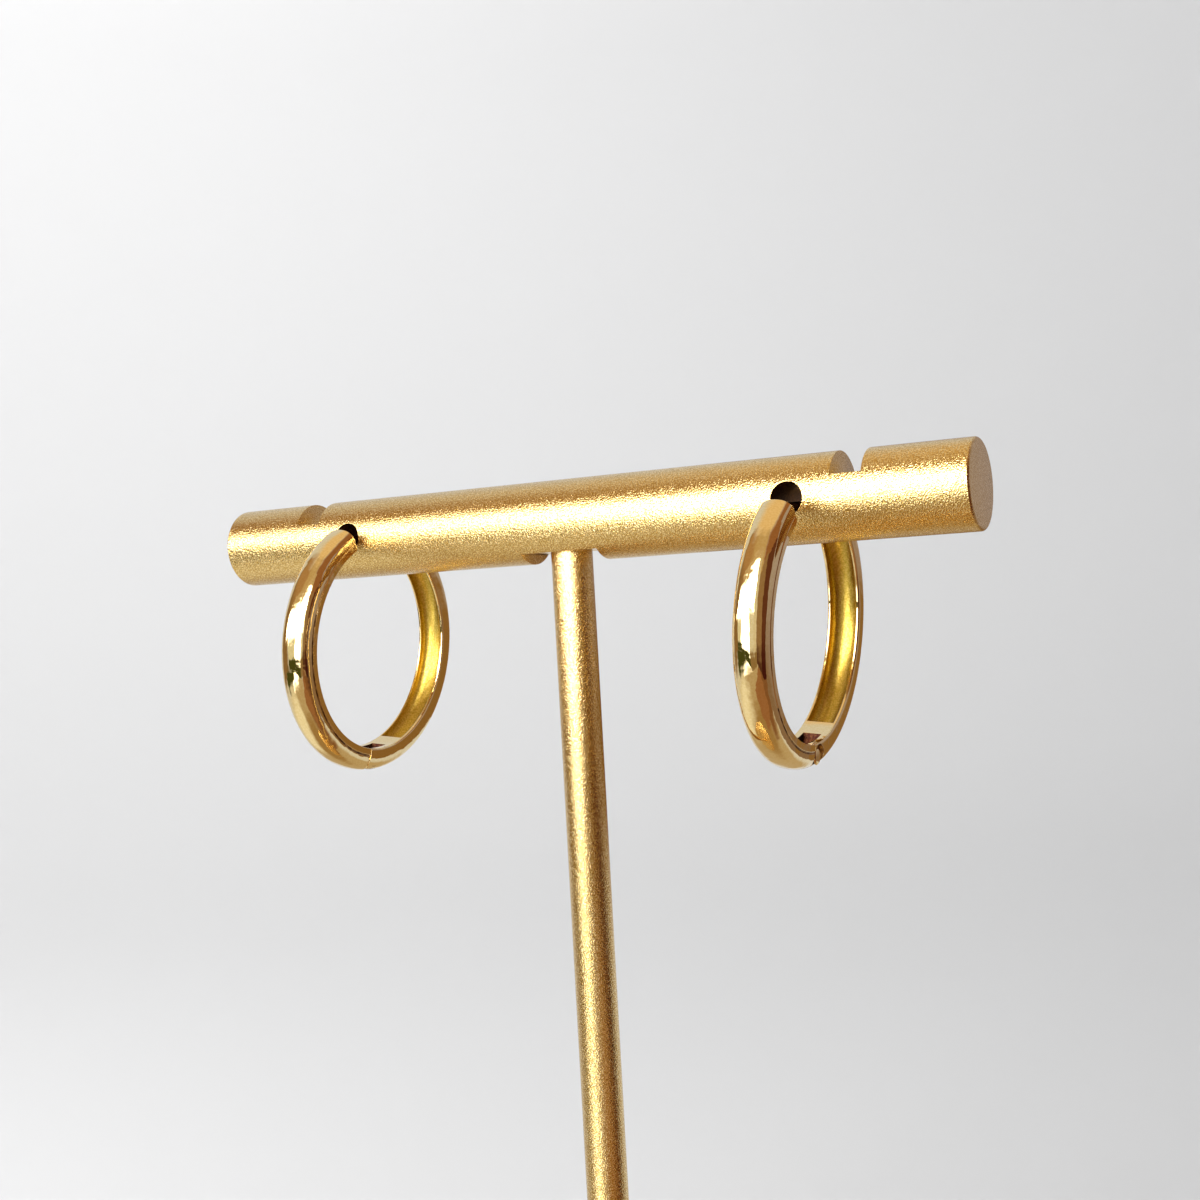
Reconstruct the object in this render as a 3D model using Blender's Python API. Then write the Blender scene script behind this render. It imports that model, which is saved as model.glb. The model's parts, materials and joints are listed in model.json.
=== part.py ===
# A pair of hinged hoop earrings hung on a T-bar stand.
# The bar lies along X, each hoop's opening faces X, the front is towards -Y,
# and the origin is the centre of the base's underside.
import math

import bmesh
import bpy
from mathutils import Matrix, Vector

MM = 0.001

# Stand
BASE_DIAMETER = 50.0 * MM
BASE_THICKNESS = 4.0 * MM
BASE_EDGE = 0.6 * MM
BASE_FLOOR = 1.2 * MM
STEM_DIAMETER = 4.0 * MM
SPIGOT_DIAMETER = 2.5 * MM
SPIGOT_LENGTH = 3.0 * MM
BAR_DIAMETER = 8.0 * MM
BAR_LENGTH = 79.4 * MM
BAR_AXIS_HEIGHT = 100.0 * MM
BAR_EDGE = 0.3 * MM
TOP_SLOT_SPACING = 58.0 * MM
TOP_SLOT_WIDTH = 2.8 * MM
TOP_SLOT_DEPTH = 2.25 * MM
NOTCH_WIDTH = 8.2 * MM
NOTCH_DEPTH = 1.0 * MM
POST_HOLE_SPACING = 47.5 * MM
POST_HOLE_DIAMETER = 2.9 * MM

# Hoop section: straight sides, a dome outside and a channel inside
HOOP_DIAMETER = 26.0 * MM
HOOP_WIDTH = 3.2 * MM
HOOP_THICKNESS = 2.3 * MM
HOOP_SIDE = 0.85 * MM
DOME_POWER = 2.4
CHANNEL_RIM = 0.32 * MM
CHANNEL_WALL = 1.1 * MM

# Hoop lengthways: each end lies this far round from the top, and the channel stops short of it
END_FROM_TOP = math.radians(29.5)
END_BLOCK = 2.0 * MM
FRONT_HINGE_BLOCK = 3.0 * MM
BACK_HINGE_BLOCK = 4.6 * MM

# Post, soldered into the back half
POST_DIAMETER = 0.8 * MM
POST_OUTWARD = 0.1 * MM
POST_TIP = 0.4 * MM
POST_ROOT = 0.8 * MM
SOCKET_CLEARANCE = 0.22 * MM

# Hinge
HINGE_ANGLE = math.radians(-89.5)
PIN_DEPTH = 1.3 * MM
PIN_DIAMETER = 0.8 * MM
PIN_CLEARANCE = 0.15 * MM
PIN_HEAD_DIAMETER = 1.5 * MM
PIN_HEAD_RISE = 0.25 * MM
PIN_BLIND_WALL = 0.3 * MM
EAR_WIDTH = 0.75 * MM
EAR_NOSE = 1.1 * MM
NOSE_START = math.radians(30.3)
SEAM_GAP = 0.12 * MM
NOSE_GAP = 0.15 * MM
TONGUE_NOSE = 0.9 * MM
TONGUE_TAIL = 1.7 * MM
TONGUE_TAIL_DEPTH = 0.8 * MM
TONGUE_GAP = 0.2 * MM
TONGUE_FACE_DROP = 0.06 * MM
NECK_DEPTH = 0.45 * MM
NECK_TURN = math.radians(54.0)
TAIL_ROOM = 0.7 * MM
RECESS_DEPTH = 0.35 * MM
RECESS_OVERLAP = 0.07 * MM

# How each hoop hangs: tilted along its post, leaning sideways at the bottom,
# with the post down against the side of its hole
HANG_TILT = {"left": math.radians(-4.5), "right": math.radians(4.5)}
HANG_LEAN = math.radians(5.3)
REST_TURN = math.radians(20.0)
REST_GAP = 0.18 * MM

# Clearances and mesh fineness
SEAT_GAP = 0.15 * MM
CUT_OVER = 1.0 * MM
ROUND_SIDES = 48
SMALL_SIDES = 24
PIN_SIDES = 20
DOME_STEPS = 10
CHANNEL_STEPS = 6
HINGE_STEPS = 8
SWEEP_STEP = math.radians(5.0)

# Sizes that follow
OUTER_RADIUS = HOOP_DIAMETER / 2
INNER_RADIUS = OUTER_RADIUS - HOOP_THICKNESS
PIN_RADIUS_ON_HOOP = INNER_RADIUS + PIN_DEPTH
POST_HEIGHT = (INNER_RADIUS + OUTER_RADIUS) / 2 * math.cos(END_FROM_TOP) + POST_OUTWARD
POST_REACH = POST_HEIGHT * math.tan(END_FROM_TOP)
CHANNEL_DEPTH = HOOP_THICKNESS - CHANNEL_WALL
EAR_CORNER = EAR_NOSE * math.cos(NOSE_START)
FRONT_NOSE = EAR_NOSE + NOSE_GAP
FRONT_CORNER = EAR_CORNER + SEAM_GAP
SLOT_WIDTH = HOOP_WIDTH - 2 * EAR_WIDTH
TONGUE_WIDTH = SLOT_WIDTH - 2 * TONGUE_GAP
RECESS_RADIUS = EAR_NOSE + RECESS_OVERLAP
BORE_RADIUS = PIN_DIAMETER / 2 + PIN_CLEARANCE
NOTCH_FLOOR = BAR_AXIS_HEIGHT - BAR_DIAMETER / 2 + NOTCH_DEPTH


# Scene

def clear_scene():
    for thing in list(bpy.data.objects):
        bpy.data.objects.remove(thing, do_unlink=True)


def metal(name, colour, roughness):
    made = bpy.data.materials.new(name)
    made.use_nodes = True
    shader = made.node_tree.nodes["Principled BSDF"]
    shader.inputs["Base Color"].default_value = (*colour, 1.0)
    shader.inputs["Metallic"].default_value = 1.0
    shader.inputs["Roughness"].default_value = roughness
    return made


def new_object(name, mesh_builder, material=None):
    bmesh.ops.recalc_face_normals(mesh_builder, faces=mesh_builder.faces)
    mesh = bpy.data.meshes.new(name)
    mesh_builder.to_mesh(mesh)
    mesh_builder.free()
    mesh.shade_smooth()
    mesh.set_sharp_from_angle(angle=math.radians(30))
    made = bpy.data.objects.new(name, mesh)
    bpy.context.scene.collection.objects.link(made)
    if material:
        mesh.materials.append(material)
    return made


def new_frame(name, location, rotation, parent=None):
    frame = bpy.data.objects.new(name, None)
    frame.empty_display_size = 3 * MM
    frame.matrix_basis = Matrix.Translation(location) @ rotation.to_4x4()
    frame.parent = parent
    bpy.context.scene.collection.objects.link(frame)
    return frame


def place(thing, frame, origin=Vector()):
    # Puts a mesh modelled in a frame under it, with the object's own origin at a chosen point
    thing.data.transform(Matrix.Translation(-origin))
    thing.location = origin
    thing.parent = frame


def boolean(target, tool, operation="DIFFERENCE"):
    tool.hide_render = True
    tool.display_type = "WIRE"
    tool.parent = target.parent
    change = target.modifiers.new(tool.name, "BOOLEAN")
    change.operation = operation
    change.object = tool


# Shapes

def loops_to_solid(loops):
    # Skins closed loops of points in order and caps the first and the last
    made = bmesh.new()
    rings = [[made.verts.new(point) for point in loop] for loop in loops]
    for near, far in zip(rings, rings[1:]):
        for index in range(len(near)):
            following = (index + 1) % len(near)
            made.faces.new((near[index], near[following], far[following], far[index]))
    made.faces.new(rings[0])
    made.faces.new(rings[-1])
    return made


def turned(name, profile, sides, material=None, axis="Z"):
    # Turns (radius, height) pairs about the axis
    angles = [2 * math.pi * index / sides for index in range(sides)]
    loops = []
    for radius, height in profile:
        loops.append([Vector((radius * math.cos(a), radius * math.sin(a), height)) for a in angles])
    made = new_object(name, loops_to_solid(loops), material)
    if axis == "X":
        made.data.transform(Matrix.Rotation(math.pi / 2, 4, "Y"))
    if axis == "Y":
        made.data.transform(Matrix.Rotation(-math.pi / 2, 4, "X"))
    return made


def rod(name, radius, start, stop, sides, axis):
    return turned(name, [(radius, start), (radius, stop)], sides, axis=axis)


def box(name, low, high):
    made = bmesh.new()
    bmesh.ops.create_cube(made, size=1.0)
    size = Vector(high) - Vector(low)
    middle = (Vector(high) + Vector(low)) / 2
    made.transform(Matrix.Translation(middle) @ Matrix.Diagonal((*size, 1.0)))
    return new_object(name, made)


def prism(name, outline, low_x, high_x, frame=Matrix.Identity(4)):
    # Extrudes a (y, z) outline along X and moves it into a frame
    loops = [[frame @ Vector((x, y, z)) for y, z in outline] for x in (low_x, high_x)]
    return new_object(name, loops_to_solid(loops))


def arc(radius, start, stop, steps):
    angles = [start + (stop - start) * index / steps for index in range(steps + 1)]
    return [(radius * math.cos(a), radius * math.sin(a)) for a in angles]


def swept(name, profile, start, stop, material=None):
    # Sweeps (x, radius) pairs round the hoop's axis from one angle to another
    steps = max(2, round(abs(stop - start) / SWEEP_STEP))
    loops = []
    for index in range(steps + 1):
        angle = start + (stop - start) * index / steps
        loops.append([Vector((x, r * math.cos(angle), r * math.sin(angle))) for x, r in profile])
    return new_object(name, loops_to_solid(loops), material)


def rounded_profile(half_width, foot, shoulder, top, power, steps):
    # An upright outline with straight sides from foot to shoulder and a rounded top
    points = [(-half_width, foot), (-half_width, shoulder)]
    for index in range(1, steps):
        turn = math.pi * index / steps
        across = math.copysign(abs(math.cos(turn)) ** (2 / power), math.cos(turn))
        points.append((-half_width * across, shoulder + (top - shoulder) * math.sin(turn) ** (2 / power)))
    return points + [(half_width, shoulder), (half_width, foot)]


# Stand

def make_base(material):
    radius = BASE_DIAMETER / 2
    profile = [
        (radius - BASE_EDGE, 0.0),
        (radius, BASE_EDGE),
        (radius, BASE_THICKNESS - BASE_EDGE),
        (radius - BASE_EDGE, BASE_THICKNESS),
    ]
    base = turned("stand_base", profile, ROUND_SIDES, material)
    bore = STEM_DIAMETER / 2 + SEAT_GAP
    boolean(base, rod("base_bore", bore, BASE_FLOOR, BASE_THICKNESS + CUT_OVER, SMALL_SIDES, "Z"))


def make_stem(material):
    shoulder = NOTCH_FLOOR - SEAT_GAP
    profile = [
        (STEM_DIAMETER / 2, BASE_FLOOR + SEAT_GAP),
        (STEM_DIAMETER / 2, shoulder),
        (SPIGOT_DIAMETER / 2, shoulder),
        (SPIGOT_DIAMETER / 2, shoulder + SPIGOT_LENGTH),
    ]
    turned("stand_stem", profile, SMALL_SIDES, material)


def make_bar(material):
    radius = BAR_DIAMETER / 2
    end = BAR_LENGTH / 2
    profile = [
        (radius - BAR_EDGE, -end),
        (radius, BAR_EDGE - end),
        (radius, end - BAR_EDGE),
        (radius - BAR_EDGE, end),
    ]
    bar = turned("stand_bar", profile, ROUND_SIDES, material, axis="X")
    frame = new_frame("bar_axis", Vector((0, 0, BAR_AXIS_HEIGHT)), Matrix.Identity(3))
    place(bar, frame)
    over = radius + CUT_OVER
    slot_floor = radius - TOP_SLOT_DEPTH
    for side, sign in (("left", -1), ("right", 1)):
        middle = sign * TOP_SLOT_SPACING / 2
        half = TOP_SLOT_WIDTH / 2
        boolean(bar, box(side + "_top_slot", (middle - half, -over, slot_floor), (middle + half, over, over)))
        hole = rod(side + "_post_hole", POST_HOLE_DIAMETER / 2, -over, over, SMALL_SIDES, "Y")
        hole.location.x = sign * POST_HOLE_SPACING / 2
        boolean(bar, hole)
    notch = NOTCH_WIDTH / 2
    notch_top = NOTCH_DEPTH - radius
    boolean(bar, box("stem_notch", (-notch, -over, -over), (notch, over, notch_top)))
    socket = SPIGOT_DIAMETER / 2 + SEAT_GAP
    boolean(bar, rod("stem_socket", socket, -over, notch_top + SPIGOT_LENGTH + SEAT_GAP, SMALL_SIDES, "Z"))


# Hoops, modelled about their own centre with the hinge below and the post along Y

def pin_point():
    return PIN_RADIUS_ON_HOOP * Vector((0, math.cos(HINGE_ANGLE), math.sin(HINGE_ANGLE)))


def hinge_frame():
    # At the pin, with Y along the hoop towards the back half and Z towards the hoop's centre
    return Matrix.Translation(pin_point()) @ Matrix.Rotation(HINGE_ANGLE + math.pi / 2, 4, "X")


def section():
    shoulder = INNER_RADIUS + HOOP_SIDE
    return rounded_profile(HOOP_WIDTH / 2, INNER_RADIUS, shoulder, OUTER_RADIUS, DOME_POWER, DOME_STEPS)


def channel_section():
    floor = INNER_RADIUS + CHANNEL_DEPTH
    foot = INNER_RADIUS - CUT_OVER
    half = HOOP_WIDTH / 2 - CHANNEL_RIM
    return rounded_profile(half, foot, INNER_RADIUS + CHANNEL_DEPTH / 2, floor, DOME_POWER, CHANNEL_STEPS)


def seam_outline(corner, nose, front_side):
    # The hinge's parting line: a straight upper seam, then the nose's arc down to the outer face
    curve = arc(nose, math.pi - math.acos(corner / nose), 1.5 * math.pi, HINGE_STEPS)
    above = PIN_DEPTH + CUT_OVER
    far = nose + 2 * CUT_OVER
    if front_side:
        return [(-far, above), (-corner, above)] + curve + [(0.0, -far), (-far, -far)]
    return [(-corner, above)] + curve + [(0.0, -far), (far, -far), (far, above)]


def slot_outline():
    # Open at the seam, round below the tongue's nose and shallow under its tail
    reach = TONGUE_NOSE + TONGUE_GAP
    floor = PIN_DEPTH - TONGUE_TAIL_DEPTH - TONGUE_GAP
    above = PIN_DEPTH + CUT_OVER
    far = EAR_NOSE + 2 * CUT_OVER
    end = TONGUE_TAIL + TAIL_ROOM
    curve = arc(reach, -math.pi / 2, math.asin(floor / reach), HINGE_STEPS)
    return [(-far, -far), (0.0, -far)] + curve + [(end, floor), (end, above), (-far, above)]


def make_back(side, pin_side, frame, material):
    name = side + "_hoop_back"
    start = HINGE_ANGLE - (EAR_NOSE + CUT_OVER) / PIN_RADIUS_ON_HOOP
    stop = math.pi / 2 - END_FROM_TOP
    back = swept(name, section(), start, stop, material)
    place(back, frame)

    channel_start = HINGE_ANGLE + BACK_HINGE_BLOCK / INNER_RADIUS
    channel_stop = stop - END_BLOCK / INNER_RADIUS
    boolean(back, swept(name + "_channel", channel_section(), channel_start, channel_stop))

    wide = HOOP_WIDTH
    hinge = hinge_frame()
    boolean(back, prism(name + "_nose", seam_outline(EAR_CORNER, EAR_NOSE, True), -wide, wide, hinge))
    boolean(back, prism(name + "_slot", slot_outline(), -SLOT_WIDTH / 2, SLOT_WIDTH / 2, hinge))

    open_x = pin_side * HOOP_WIDTH
    blind_x = -pin_side * (HOOP_WIDTH / 2 - PIN_BLIND_WALL)
    bore = rod(name + "_pin_bore", BORE_RADIUS, *sorted((blind_x, open_x)), PIN_SIDES, "X")
    bore.data.transform(hinge)
    boolean(back, bore)
    recess_x = pin_side * (HOOP_WIDTH / 2 - RECESS_DEPTH)
    recess = rod(name + "_recess", RECESS_RADIUS, *sorted((recess_x, open_x)), SMALL_SIDES, "X")
    recess.data.transform(hinge)
    boolean(back, recess)

    tip = -POST_REACH - POST_TIP
    post = rod(name + "_post", POST_DIAMETER / 2, tip, POST_REACH + POST_ROOT, PIN_SIDES, "Y")
    post.location.z = POST_HEIGHT
    boolean(back, post, "UNION")


def make_front(side, frame, material):
    name = side + "_hoop_front"
    start = math.pi / 2 + END_FROM_TOP
    stop = 2 * math.pi + HINGE_ANGLE
    front = swept(name, section(), start, stop, material)
    hinge = hinge_frame()
    place(front, frame, pin_point())

    channel_start = start + END_BLOCK / INNER_RADIUS
    channel_stop = stop - (FRONT_NOSE + FRONT_HINGE_BLOCK) / INNER_RADIUS
    boolean(front, swept(name + "_channel", channel_section(), channel_start, channel_stop))

    wide = HOOP_WIDTH
    boolean(front, prism(name + "_nose", seam_outline(FRONT_CORNER, FRONT_NOSE, False), -wide, wide, hinge))
    boolean(front, tongue(name + "_tongue", hinge), "UNION")
    bore = rod(name + "_pin_bore", BORE_RADIUS, -wide, wide, PIN_SIDES, "X")
    bore.data.transform(hinge)
    boolean(front, bore)
    depth = POST_REACH + POST_TIP + SOCKET_CLEARANCE
    socket = rod(name + "_socket", POST_DIAMETER / 2 + SOCKET_CLEARANCE, -depth, 0.0, PIN_SIDES, "Y")
    socket.location.z = POST_HEIGHT
    boolean(front, socket)


def tongue(name, hinge):
    # A plate round the pin, just under the hoop's inner face, with a neck into the front half and a tail
    root = -FRONT_NOSE - PIN_DEPTH
    face = PIN_DEPTH - TONGUE_FACE_DROP
    tail_floor = PIN_DEPTH - TONGUE_TAIL_DEPTH
    outline = [(root, face), (root, -NECK_DEPTH)]
    outline += arc(TONGUE_NOSE, math.pi + NECK_TURN, 2 * math.pi, HINGE_STEPS)
    outline += [(TONGUE_NOSE, tail_floor), (TONGUE_TAIL, tail_floor), (TONGUE_TAIL, face)]
    return prism(name, outline, -TONGUE_WIDTH / 2, TONGUE_WIDTH / 2, hinge)


def make_pin(side, pin_side, frame, material):
    shank = PIN_DIAMETER / 2
    head = PIN_HEAD_DIAMETER / 2
    seat = HOOP_WIDTH / 2 - RECESS_DEPTH + PIN_CLEARANCE / 2
    tip = PIN_BLIND_WALL + PIN_CLEARANCE - HOOP_WIDTH / 2
    top = seat + PIN_HEAD_RISE
    profile = [(shank, tip), (shank, seat), (head, seat), (head, top - PIN_HEAD_RISE / 2), (head / 2, top)]
    pin = turned(side + "_hinge_pin", profile, PIN_SIDES, material, axis="X")
    if pin_side < 0:
        pin.data.transform(Matrix.Rotation(math.pi, 4, "Z"))
    pin.data.transform(hinge_frame())
    place(pin, frame, pin_point())


def make_hoop(side, sign, gold):
    # The tilted post rests on one mouth of its hole, and the hoop's centre hangs below the bar's axis
    tilt = HANG_TILT[side]
    play = (POST_HOLE_DIAMETER - POST_DIAMETER) / 2 - REST_GAP
    aside = play * math.sin(REST_TURN)
    down = play * math.cos(REST_TURN) - BAR_DIAMETER / 2 * math.tan(abs(tilt))
    post_middle = Vector((sign * POST_HOLE_SPACING / 2 + aside, 0.0, BAR_AXIS_HEIGHT - down))
    drop = POST_HEIGHT / math.cos(tilt)
    centre = post_middle - drop * Vector((math.sin(HANG_LEAN), 0.0, math.cos(HANG_LEAN)))
    turn = Matrix.Rotation(HANG_LEAN, 3, "Y") @ Matrix.Rotation(tilt, 3, "X")
    frame = new_frame(side + "_hoop_centre", centre, turn)
    make_back(side, sign, frame, gold)
    make_front(side, frame, gold)
    make_pin(side, sign, frame, gold)


def main():
    clear_scene()
    satin = metal("satin champagne gold", (0.72, 0.52, 0.28), 0.42)
    gold = metal("polished gold", (0.88, 0.62, 0.26), 0.16)
    make_base(satin)
    make_stem(satin)
    make_bar(satin)
    for side, sign in (("left", -1), ("right", 1)):
        make_hoop(side, sign, gold)


main()
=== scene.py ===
# Looks for a pair of hinged hoop earrings on their T-bar stand.
# Sizes are in millimetres and degrees, and in metres for the studio and its lamps.
import json
import math

import bmesh
import bpy
from mathutils import Matrix, Vector


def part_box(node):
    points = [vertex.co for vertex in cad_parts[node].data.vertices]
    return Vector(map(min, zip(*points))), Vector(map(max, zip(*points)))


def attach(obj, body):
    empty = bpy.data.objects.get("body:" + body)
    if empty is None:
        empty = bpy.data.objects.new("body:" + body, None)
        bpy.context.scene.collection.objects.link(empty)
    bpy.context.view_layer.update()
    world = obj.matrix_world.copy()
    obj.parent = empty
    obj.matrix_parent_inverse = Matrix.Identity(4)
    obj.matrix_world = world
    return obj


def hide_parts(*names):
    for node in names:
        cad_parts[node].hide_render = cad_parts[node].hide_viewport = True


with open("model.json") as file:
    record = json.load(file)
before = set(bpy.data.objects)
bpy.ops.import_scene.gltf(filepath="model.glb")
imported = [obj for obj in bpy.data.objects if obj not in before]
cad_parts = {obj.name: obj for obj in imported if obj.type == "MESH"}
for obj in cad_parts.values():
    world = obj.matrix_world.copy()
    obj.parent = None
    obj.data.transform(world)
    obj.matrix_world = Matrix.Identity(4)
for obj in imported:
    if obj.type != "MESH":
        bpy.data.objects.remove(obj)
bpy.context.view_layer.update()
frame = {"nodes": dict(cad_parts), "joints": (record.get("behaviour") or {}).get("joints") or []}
mm = 0.001
tiny = 1e-7
overshoot = 1.0  # how far a cutting tool reaches past what it cuts
print("frame loaded:", len(frame["nodes"]), "solids")

body = "stand_and_back_halves"
scene = bpy.context.scene


# Camera, at the photograph's place, with its own tilt

cameraSetup = {
    "place": (72.3, -128.3, 91.1),
    "turnLeft": 28.45,  # from straight along +Y
    "lookUp": 0.43,
    "roll": -3.22,
    "lens": 46.02,
    "sensor": 36.0,
    "near": 5.0,
    "far": 20000.0,
}


def makeCamera(setup):
    turn, up, roll = (math.radians(setup[key]) for key in ("turnLeft", "lookUp", "roll"))
    data = bpy.data.cameras.new("camera")
    data.lens = setup["lens"]
    data.sensor_width = setup["sensor"]
    data.clip_start = setup["near"] * mm
    data.clip_end = setup["far"] * mm
    camera = bpy.data.objects.new("camera", data)
    scene.collection.objects.link(camera)
    aim = Matrix.Rotation(turn, 4, "Z") @ Matrix.Rotation(math.pi / 2 + up, 4, "X")
    aim = aim @ Matrix.Rotation(roll, 4, "Z")
    camera.matrix_world = Matrix.Translation(Vector(setup["place"]) * mm) @ aim
    scene.camera = camera


makeCamera(cameraSetup)


# Node tools

def addNode(tree, kind, **values):
    node = tree.nodes.new(kind)
    for key, value in values.items():
        if key.startswith("in_"):
            node.inputs[key[3:].replace("_", " ")].default_value = value
        else:
            setattr(node, key, value)
    return node


def newGroup(name, inputs, outputs):
    tree = bpy.data.node_groups.new(name, "ShaderNodeTree")
    for label, kind, start in inputs:
        socket = tree.interface.new_socket(label, in_out="INPUT", socket_type=kind)
        if start is not None:
            socket.default_value = start
    for label, kind in outputs:
        tree.interface.new_socket(label, in_out="OUTPUT", socket_type=kind)
    return tree, tree.nodes.new("NodeGroupInput"), tree.nodes.new("NodeGroupOutput")


def placeGroup(tree, group, **values):
    node = tree.nodes.new("ShaderNodeGroup")
    node.node_tree = group
    for key, value in values.items():
        node.inputs[key.replace("_", " ")].default_value = value
    return node


def makeGrainGroup():
    # Blasted or cast grain: two sizes of noise mixed, as a height and as a speckle mask
    tree, start, end = newGroup(
        "metalGrain",
        [("Vector", "NodeSocketVector", None), ("Coarse Scale", "NodeSocketFloat", 2000.0),
         ("Fine Scale", "NodeSocketFloat", 7000.0), ("Fine Share", "NodeSocketFloat", 0.5)],
        [("Height", "NodeSocketFloat"), ("Speckle", "NodeSocketFloat")],
    )
    coarse = addNode(tree, "ShaderNodeTexNoise", in_Detail=2.0)
    fine = addNode(tree, "ShaderNodeTexNoise", in_Detail=1.0)
    blend = addNode(tree, "ShaderNodeMix")
    speckle = addNode(tree, "ShaderNodeMapRange", in_From_Min=0.38, in_From_Max=0.66)
    link = tree.links.new
    link(start.outputs["Vector"], coarse.inputs["Vector"])
    link(start.outputs["Vector"], fine.inputs["Vector"])
    link(start.outputs["Coarse Scale"], coarse.inputs["Scale"])
    link(start.outputs["Fine Scale"], fine.inputs["Scale"])
    link(start.outputs["Fine Share"], blend.inputs["Factor"])
    link(coarse.outputs["Fac"], blend.inputs["A"])
    link(fine.outputs["Fac"], blend.inputs["B"])
    link(fine.outputs["Fac"], speckle.inputs["Value"])
    link(blend.outputs["Result"], end.inputs["Height"])
    link(speckle.outputs["Result"], end.inputs["Speckle"])
    return tree


def makeHandlingGroup():
    # Faint wipe marks and dulled spots: a mask that is stretched one way, and slow waves of hand polishing
    tree, start, end = newGroup(
        "handlingMarks",
        [("Vector", "NodeSocketVector", None), ("Wave Scale", "NodeSocketFloat", 300.0),
         ("Mark Scale", "NodeSocketFloat", 900.0)],
        [("Wave", "NodeSocketFloat"), ("Marks", "NodeSocketFloat")],
    )
    wave = addNode(tree, "ShaderNodeTexNoise", in_Detail=2.5, in_Roughness=0.42)
    stretch = addNode(tree, "ShaderNodeMapping", in_Scale=(1.0, 0.35, 0.35))
    marks = addNode(tree, "ShaderNodeTexNoise", in_Detail=4.0, in_Distortion=0.6)
    contrast = addNode(tree, "ShaderNodeMapRange", in_From_Min=0.45, in_From_Max=0.7)
    link = tree.links.new
    link(start.outputs["Vector"], wave.inputs["Vector"])
    link(start.outputs["Wave Scale"], wave.inputs["Scale"])
    link(start.outputs["Vector"], stretch.inputs["Vector"])
    link(stretch.outputs["Vector"], marks.inputs["Vector"])
    link(start.outputs["Mark Scale"], marks.inputs["Scale"])
    link(marks.outputs["Fac"], contrast.inputs["Value"])
    link(wave.outputs["Fac"], end.inputs["Wave"])
    link(contrast.outputs["Result"], end.inputs["Marks"])
    return tree


grainGroup = makeGrainGroup()
handlingGroup = makeHandlingGroup()


# Metals

satinGold = {
    "colour": (0.64, 0.42, 0.13),
    "brightColour": (0.88, 0.69, 0.37),
    "roughness": (0.155, 0.21),
    "coarse": 2400.0,
    "fine": 7400.0,
    "fineShare": 1.0,
    "grainDepth": 0.055,
    "waveDepth": 0.0,
    "wave": 120.0,
    "marks": 260.0,
}
polishedGold = {
    "colour": (0.85, 0.66, 0.34),
    "brightColour": (0.89, 0.71, 0.40),
    "roughness": (0.045, 0.10),
    "coarse": 1500.0,
    "fine": 5200.0,
    "fineShare": 0.3,
    "grainDepth": 0.0012,
    "waveDepth": 0.11,
    "wave": 460.0,
    "marks": 700.0,
}
# Rough cast inside of the hollow band and the post's socket: partly the cast gold's own rougher finish,
# partly painted shade, darker than the polished gold
castGoldAndShade = {
    "colour": (0.50, 0.34, 0.05),
    "brightColour": (0.68, 0.49, 0.12),
    "roughness": (0.30, 0.42),
    "coarse": 2400.0,
    "fine": 6000.0,
    "fineShare": 0.5,
    "grainDepth": 0.03,
    "waveDepth": 0.02,
    "wave": 500.0,
    "marks": 900.0,
}
# Painted shade: a dark, rough gold for the hoops' groove and the pin's recess, where shade falls
creaseShadeMetal = {
    "colour": (0.12, 0.055, 0.02),
    "brightColour": (0.46, 0.28, 0.12),
    "roughness": (0.25, 0.40),
    "coarse": 900.0,
    "fine": 1300.0,
    "fineShare": 1.0,
    "grainDepth": 0.004,
    "waveDepth": 0.0,
    "wave": 200.0,
    "marks": 700.0,
}
# Painted shade: a near-black maroon for the walls of the bar's holes and the hoops' hinge slots, where
# little light reaches
holeShadeMetal = {
    "colour": (0.045, 0.014, 0.010),
    "brightColour": (0.11, 0.045, 0.02),
    "roughness": (0.45, 0.60),
    "coarse": 1500.0,
    "fine": 5000.0,
    "fineShare": 0.5,
    "grainDepth": 0.02,
    "waveDepth": 0.0,
    "wave": 200.0,
    "marks": 700.0,
}


def makeMetal(name, look):
    material = bpy.data.materials.new(name)
    material.use_nodes = True
    tree = material.node_tree
    shader = tree.nodes["Principled BSDF"]
    shader.inputs["Metallic"].default_value = 1.0
    place = addNode(tree, "ShaderNodeTexCoord")
    grain = placeGroup(tree, grainGroup, Coarse_Scale=look["coarse"], Fine_Scale=look["fine"],
                       Fine_Share=look["fineShare"])
    handling = placeGroup(tree, handlingGroup, Wave_Scale=look["wave"], Mark_Scale=look["marks"])
    tint = addNode(tree, "ShaderNodeMix", data_type="RGBA")
    tint.inputs["A"].default_value = (*look["colour"], 1.0)
    tint.inputs["B"].default_value = (*look["brightColour"], 1.0)
    smooth, dull = look["roughness"]
    rough = addNode(tree, "ShaderNodeMapRange", in_To_Min=smooth, in_To_Max=dull)
    grainBump = addNode(tree, "ShaderNodeBump", in_Distance=look["grainDepth"] * mm, in_Strength=1.0)
    link = tree.links.new
    link(place.outputs["Object"], grain.inputs["Vector"])
    link(place.outputs["Object"], handling.inputs["Vector"])
    link(grain.outputs["Speckle"], tint.inputs["Factor"])
    link(tint.outputs["Result"], shader.inputs["Base Color"])
    link(handling.outputs["Marks"], rough.inputs["Value"])
    link(rough.outputs["Result"], shader.inputs["Roughness"])
    link(grain.outputs["Height"], grainBump.inputs["Height"])
    if look["waveDepth"]:
        waveBump = addNode(tree, "ShaderNodeBump", in_Distance=look["waveDepth"] * mm, in_Strength=1.0)
        link(handling.outputs["Wave"], waveBump.inputs["Height"])
        link(waveBump.outputs["Normal"], grainBump.inputs["Normal"])
    link(grainBump.outputs["Normal"], shader.inputs["Normal"])
    return material


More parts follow.
